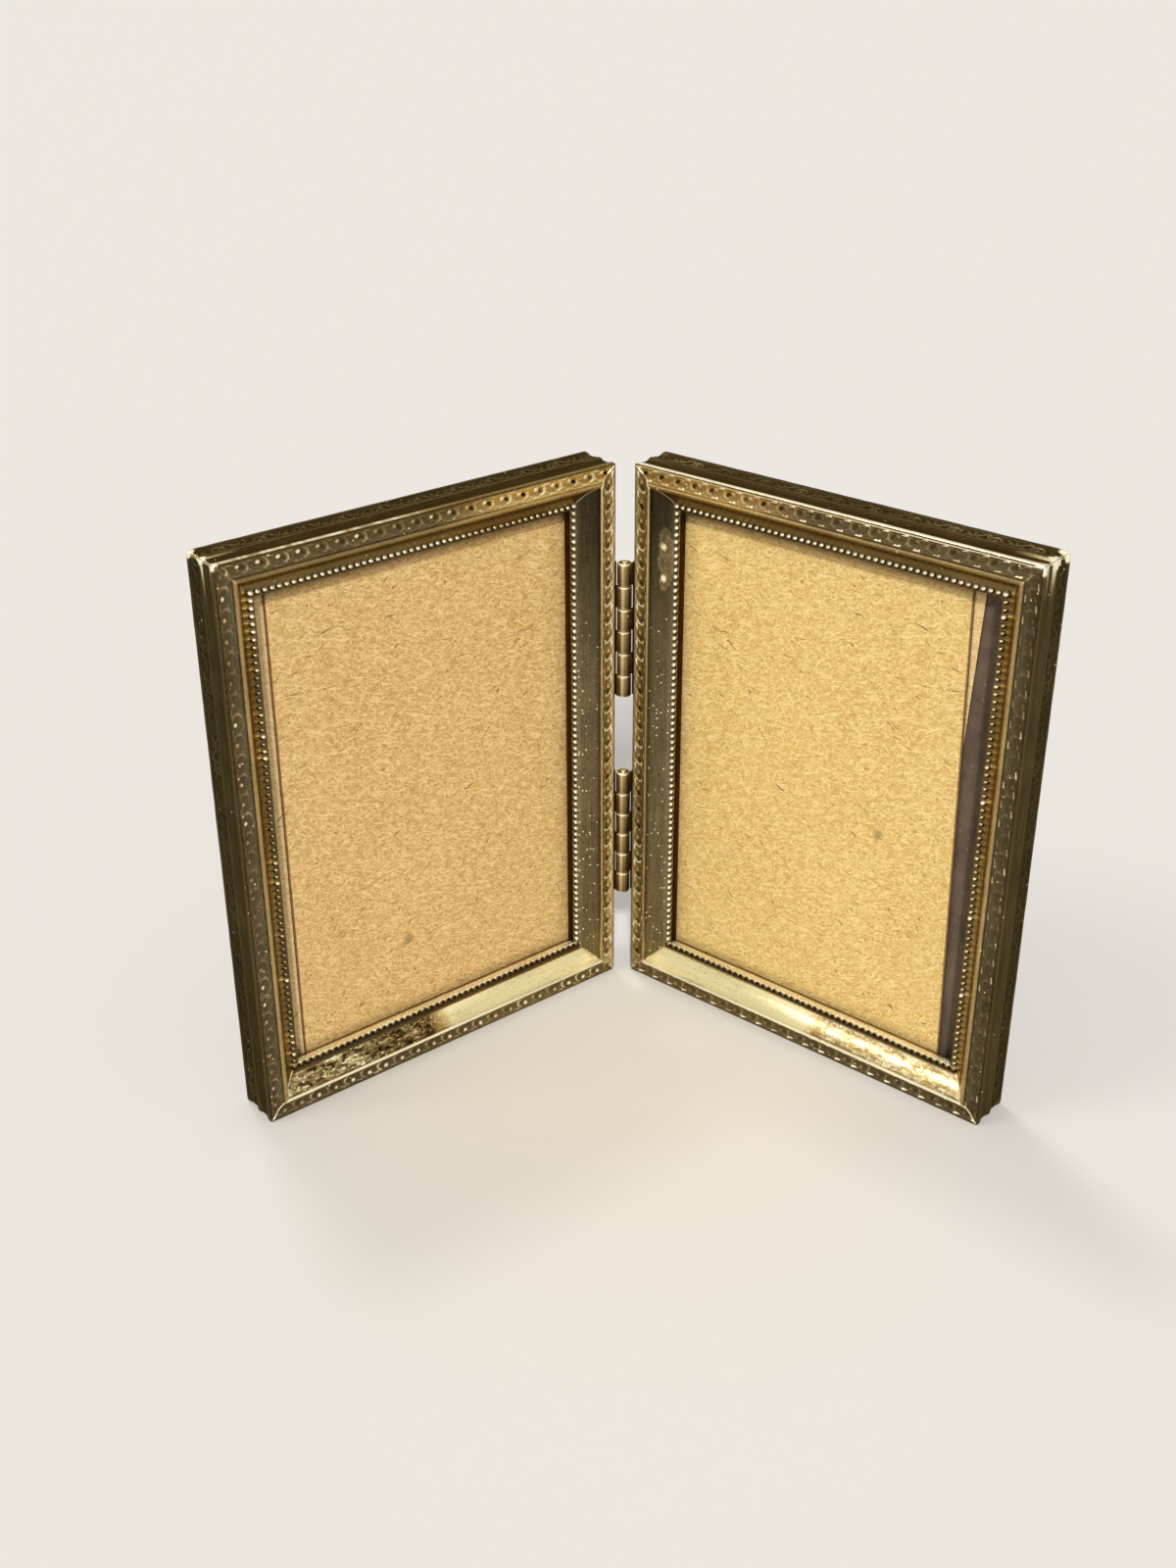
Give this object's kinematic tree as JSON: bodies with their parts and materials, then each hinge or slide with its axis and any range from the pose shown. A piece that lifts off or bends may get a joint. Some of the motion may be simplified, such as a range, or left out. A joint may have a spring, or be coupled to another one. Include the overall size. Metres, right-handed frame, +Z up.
{
  "type": "hinged double photo frame",
  "caption": "Hinged double photo frame that stands open like a book: two upright brass frames with embossed mitred mouldings, beaded inner edges, glass and kraft card inserts.",
  "frame": {"origin": "on the surface that the frames stand on, under the middle of the part's box", "axes": "+Z up along the hinge, the two pictures face -Y, +X towards the right-hand frame"},
  "size_m": [0.1314, 0.0544, 0.102],
  "materials": {
    "antique_brass": "embossed sheet brass, aged brown in the hollows and rubbed bright on the crests",
    "hinge_brass": "aged brass, satin, darker between the knuckles",
    "plain_brass": "plain strip with solder, dull",
    "tinned_points": "tinned flat points, dull",
    "glass": "clear window glass",
    "kraft_card": "uncoated kraft card with flecks and pressed fibres",
    "grey_board": "grey backing board",
    "velvet": "short-pile cotton velvet, brown-purple, with dust"
  },
  "bodies": {
    "left_frame": {"left_bottom_rail": "antique_brass", "left_top_rail": "antique_brass", "left_hinge_rail": "antique_brass", "left_outer_rail": "antique_brass", "left_corner_braces": "plain_brass", "left_glass": "glass", "left_front_card": "kraft_card", "left_rear_card": "kraft_card", "left_backing_board": "grey_board", "left_velvet_cover": "velvet", "left_retaining_points": "tinned_points", "upper_hinge_left_leaf": "hinge_brass", "upper_hinge_pin": "hinge_brass", "lower_hinge_left_leaf": "hinge_brass", "lower_hinge_pin": "hinge_brass"},
    "right_frame": {"right_bottom_rail": "antique_brass", "right_top_rail": "antique_brass", "right_hinge_rail": "antique_brass", "right_outer_rail": "antique_brass", "right_corner_braces": "plain_brass", "right_glass": "glass", "right_front_card": "kraft_card", "right_rear_card": "kraft_card", "right_backing_board": "grey_board", "right_velvet_cover": "velvet", "right_retaining_points": "tinned_points", "upper_hinge_right_leaf": "hinge_brass", "lower_hinge_right_leaf": "hinge_brass"}
  },
  "joints": [
    {"name": "fold", "type": "hinge", "parent": "left_frame", "child": "right_frame", "pos_m": [0, 0.02083, 0.051], "axis": [0, 0, 1], "range_deg": [-101.8, 84.2]}
  ]
}
